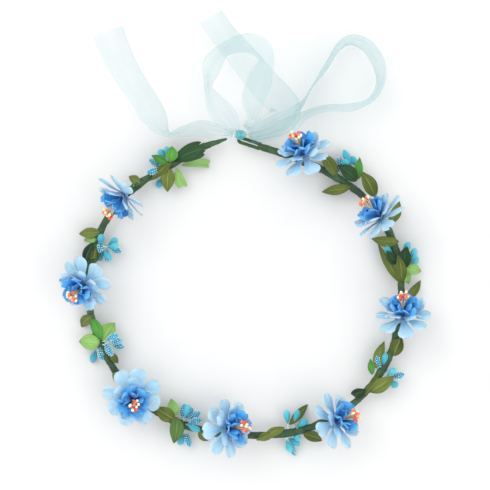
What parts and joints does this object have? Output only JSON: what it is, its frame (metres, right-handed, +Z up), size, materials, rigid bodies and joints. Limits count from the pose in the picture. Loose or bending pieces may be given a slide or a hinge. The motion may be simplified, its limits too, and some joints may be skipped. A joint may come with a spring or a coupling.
{
  "type": "flower crown",
  "caption": "Hoop of taped wire with fabric flower heads on bendable stems, bud clusters and leaves, closed by a sheer ribbon bow.",
  "frame": {"origin": "middle of the hoop, at the height of the table that the crown lies on", "axes": "+Z up out of the table, +Y from the middle of the hoop towards the ribbon bow, +X to the right"},
  "size_m": [0.2364, 0.2876, 0.044],
  "materials": {
    "floral_tape": "waxed crepe tape",
    "band_wire": "annealed wire",
    "organza": "sheer organza",
    "bud": "satin, some beaded",
    "leaf": "printed veined cloth",
    "pale_petal": "soft woven cloth",
    "blue_petal": "soft woven cloth",
    "stamen": "waxed thread tips"
  },
  "bodies": {
    "band": {"floral_tape": "floral_tape", "band_wire": "band_wire", "ribbon_eyelet": "floral_tape", "ribbon_knot": "organza", "ribbon_tail_left": "organza", "ribbon_loop_left": "organza", "ribbon_tail_centre": "organza", "ribbon_loop_right": "organza", "bud_cluster_1": "bud", "bud_cluster_2": "bud", "bud_cluster_3": "bud", "bud_cluster_4": "bud", "bud_cluster_5": "bud", "bud_cluster_6": "bud", "bud_cluster_7": "bud", "bud_cluster_8": "bud", "leaves_1": "leaf", "leaves_2": "leaf", "leaves_3": "leaf", "leaves_4": "leaf", "leaves_5": "leaf", "leaves_6": "leaf", "leaves_7": "leaf", "leaves_8": "leaf"},
    "flower_1": {"flower_1_stem": "floral_tape", "flower_1_outer_petals": "pale_petal", "flower_1_inner_petals": "blue_petal", "flower_1_stamens": "stamen"},
    "flower_2": {"flower_2_stem": "floral_tape", "flower_2_outer_petals": "pale_petal", "flower_2_inner_petals": "blue_petal", "flower_2_stamens": "stamen"},
    "flower_3": {"flower_3_stem": "floral_tape", "flower_3_outer_petals": "pale_petal", "flower_3_inner_petals": "blue_petal", "flower_3_stamens": "stamen"},
    "flower_4": {"flower_4_stem": "floral_tape", "flower_4_outer_petals": "pale_petal", "flower_4_inner_petals": "blue_petal", "flower_4_stamens": "stamen"},
    "flower_5": {"flower_5_stem": "floral_tape", "flower_5_outer_petals": "pale_petal", "flower_5_inner_petals": "blue_petal", "flower_5_stamens": "stamen"},
    "flower_6": {"flower_6_stem": "floral_tape", "flower_6_outer_petals": "pale_petal", "flower_6_inner_petals": "blue_petal", "flower_6_stamens": "stamen"},
    "flower_7": {"flower_7_stem": "floral_tape", "flower_7_outer_petals": "pale_petal", "flower_7_inner_petals": "blue_petal", "flower_7_stamens": "stamen"},
    "flower_8": {"flower_8_stem": "floral_tape", "flower_8_outer_petals": "pale_petal", "flower_8_inner_petals": "blue_petal", "flower_8_stamens": "stamen"}
  },
  "joints": [
    {"name": "flower_1_bend", "type": "hinge", "parent": "band", "child": "flower_1", "pos_m": [0.04172, 0.07892, 0.01165], "axis": [0.9135, 0.4067, 0], "range_deg": [0, 25]},
    {"name": "flower_2_bend", "type": "hinge", "parent": "band", "child": "flower_2", "pos_m": [0.09243, 0.03622, 0.01165], "axis": [0.7193, 0.6947, 0], "range_deg": [0, 25]},
    {"name": "flower_3_bend", "type": "hinge", "parent": "band", "child": "flower_3", "pos_m": [0.09857, -0.02545, 0.01165], "axis": [0.9986, 0.0523, 0], "range_deg": [0, 25]},
    {"name": "flower_4_bend", "type": "hinge", "parent": "band", "child": "flower_4", "pos_m": [0.05148, -0.08668, 0.01165], "axis": [0.3746, -0.9272, 0], "range_deg": [0, 25]},
    {"name": "flower_5_bend", "type": "hinge", "parent": "band", "child": "flower_5", "pos_m": [-0.01708, -0.0939, 0.01165], "axis": [0.1392, -0.9903, 0], "range_deg": [0, 18]},
    {"name": "flower_6_bend", "type": "hinge", "parent": "band", "child": "flower_6", "pos_m": [-0.06991, -0.06922, 0.01165], "axis": [-0.866, -0.5, 0], "range_deg": [-8, 8]},
    {"name": "flower_7_bend", "type": "hinge", "parent": "band", "child": "flower_7", "pos_m": [-0.1001, 0.0057, 0.01165], "axis": [-0.7314, 0.682, 0], "range_deg": [0, 16]},
    {"name": "flower_8_bend", "type": "hinge", "parent": "band", "child": "flower_8", "pos_m": [-0.06894, 0.06491, 0.01165], "axis": [-0.7431, 0.6691, 0], "range_deg": [0, 25]}
  ]
}
